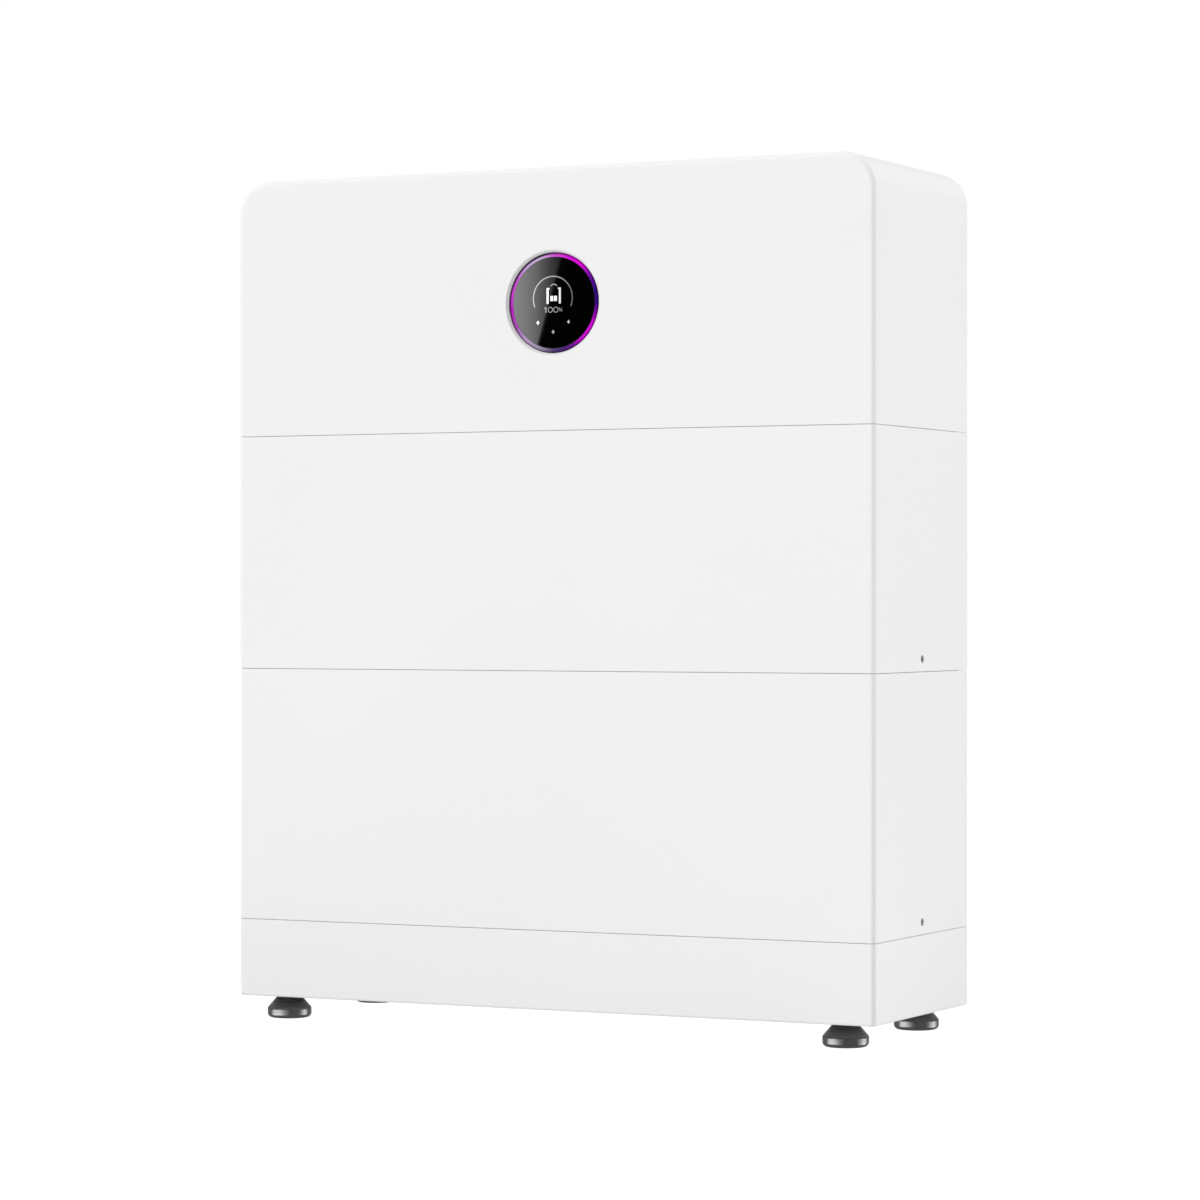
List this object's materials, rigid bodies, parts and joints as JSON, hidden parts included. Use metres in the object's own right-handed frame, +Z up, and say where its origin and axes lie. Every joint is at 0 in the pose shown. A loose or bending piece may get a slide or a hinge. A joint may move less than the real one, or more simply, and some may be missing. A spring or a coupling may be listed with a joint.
{
  "type": "stacked home battery unit",
  "caption": "Floor-standing stack of a power module with a round display on battery modules and a base with levelling feet.",
  "frame": {"origin": "on the floor below the middle of the stack, at the bottom centre of its box", "axes": "+X along the width to the viewer's right, +Y towards the wall, +Z up"},
  "size_m": [0.7, 0.237, 0.848],
  "materials": {
    "white_cover": "fine matt white powder coat",
    "zinc_steel": "zinc-plated sheet",
    "screw_steel": "zinc-plated",
    "foot_metal": "dark turned steel",
    "cast_aluminium": "matt cast",
    "cell_film": "blue film over aluminium can",
    "busbar_metal": "plain",
    "circuit_board": "solder mask",
    "connector_black": "moulded",
    "knob_black": "moulded",
    "button_grey": "moulded",
    "bay_grey": "moulded",
    "capacitor_sleeve": "shrink sleeve",
    "potted_coil": "potting compound",
    "port_metal": "tinned shell",
    "rubber_black": "matt",
    "light_ring": "clear guide lit magenta to violet",
    "screen": "dark panel",
    "display_glass": "polished, black printed"
  },
  "bodies": {
    "stack": {"base_skirt": "white_cover", "base_frame": "zinc_steel", "base_socket": "connector_black", "side_screws": "screw_steel", "locating_pins": "screw_steel", "power_cover": "white_cover", "power_chassis": "zinc_steel", "power_plug": "connector_black", "heat_sink": "cast_aluminium", "power_board": "circuit_board", "bus_capacitors": "capacitor_sleeve", "boost_inductors": "potted_coil", "control_board": "circuit_board", "display_housing": "connector_black", "ring_light_guide": "light_ring", "ring_led_board": "circuit_board", "display_screen": "screen", "display_glass": "display_glass", "wiring_bay": "bay_grey", "isolator_body": "connector_black", "pv_connectors": "connector_black", "ac_connector": "connector_black", "data_ports": "port_metal", "cable_grommets": "rubber_black", "wall_bracket": "zinc_steel", "bracket_screws": "screw_steel", "lower_cover": "white_cover", "lower_chassis": "zinc_steel", "lower_lid": "zinc_steel", "lower_cells": "cell_film", "lower_end_plates": "cast_aluminium", "lower_tie_straps": "screw_steel", "lower_busbars": "busbar_metal", "lower_board": "circuit_board", "lower_contactor": "connector_black", "lower_plug": "connector_black", "lower_socket": "connector_black", "upper_cover": "white_cover", "upper_chassis": "zinc_steel", "upper_lid": "zinc_steel", "upper_cells": "cell_film", "upper_end_plates": "cast_aluminium", "upper_tie_straps": "screw_steel", "upper_busbars": "busbar_metal", "upper_board": "circuit_board", "upper_contactor": "connector_black", "upper_plug": "connector_black", "upper_socket": "connector_black"},
    "pad_front_left": {"foot_pad_front_left": "foot_metal"},
    "stud_front_left": {"foot_stud_front_left": "screw_steel"},
    "pad_front_right": {"foot_pad_front_right": "foot_metal"},
    "stud_front_right": {"foot_stud_front_right": "screw_steel"},
    "pad_rear_left": {"foot_pad_rear_left": "foot_metal"},
    "stud_rear_left": {"foot_stud_rear_left": "screw_steel"},
    "pad_rear_right": {"foot_pad_rear_right": "foot_metal"},
    "stud_rear_right": {"foot_stud_rear_right": "screw_steel"},
    "isolator": {"isolator_knob": "knob_black"},
    "button": {"start_button": "button_grey"},
    "bay_cover": {"wiring_cover": "white_cover", "cover_screws": "screw_steel"}
  },
  "joints": [
    {"name": "foot_travel_front_left", "type": "slide", "parent": "stack", "child": "pad_front_left", "axis": [0, 0, -1], "range_m": [0, 0.015]},
    {"name": "foot_turn_front_left", "type": "hinge", "parent": "pad_front_left", "child": "stud_front_left", "pos_m": [-0.3075, -0.0885, 0.015], "axis": [0, 0, -1], "range_deg": [0, 3600]},
    {"name": "foot_travel_front_right", "type": "slide", "parent": "stack", "child": "pad_front_right", "axis": [0, 0, -1], "range_m": [0, 0.015]},
    {"name": "foot_turn_front_right", "type": "hinge", "parent": "pad_front_right", "child": "stud_front_right", "pos_m": [0.3075, -0.0885, 0.015], "axis": [0, 0, -1], "range_deg": [0, 3600]},
    {"name": "foot_travel_rear_left", "type": "slide", "parent": "stack", "child": "pad_rear_left", "axis": [0, 0, -1], "range_m": [0, 0.015]},
    {"name": "foot_turn_rear_left", "type": "hinge", "parent": "pad_rear_left", "child": "stud_rear_left", "pos_m": [-0.3075, 0.0885, 0.015], "axis": [0, 0, -1], "range_deg": [0, 3600]},
    {"name": "foot_travel_rear_right", "type": "slide", "parent": "stack", "child": "pad_rear_right", "axis": [0, 0, -1], "range_m": [0, 0.015]},
    {"name": "foot_turn_rear_right", "type": "hinge", "parent": "pad_rear_right", "child": "stud_rear_right", "pos_m": [0.3075, 0.0885, 0.015], "axis": [0, 0, -1], "range_deg": [0, 3600]},
    {"name": "isolator_turn", "type": "hinge", "parent": "stack", "child": "isolator", "pos_m": [-0.29, -0.022, 0.748], "axis": [1, 0, 0], "range_deg": [0, 90]},
    {"name": "button_press", "type": "slide", "parent": "stack", "child": "button", "axis": [1, 0, 0], "range_m": [0, 0.0025], "stiffness_N_per_m": 400, "springref_m": -0.002},
    {"name": "cover_lift", "type": "slide", "parent": "stack", "child": "bay_cover", "axis": [-1, 0, 0], "range_m": [0, 0.08]}
  ],
  "couplings": [
    {"joint": "foot_turn_front_left", "follows": "foot_travel_front_left", "rad_per_m": 4188.7},
    {"joint": "foot_turn_front_right", "follows": "foot_travel_front_right", "rad_per_m": 4188.7},
    {"joint": "foot_turn_rear_left", "follows": "foot_travel_rear_left", "rad_per_m": 4188.7},
    {"joint": "foot_turn_rear_right", "follows": "foot_travel_rear_right", "rad_per_m": 4188.7}
  ]
}
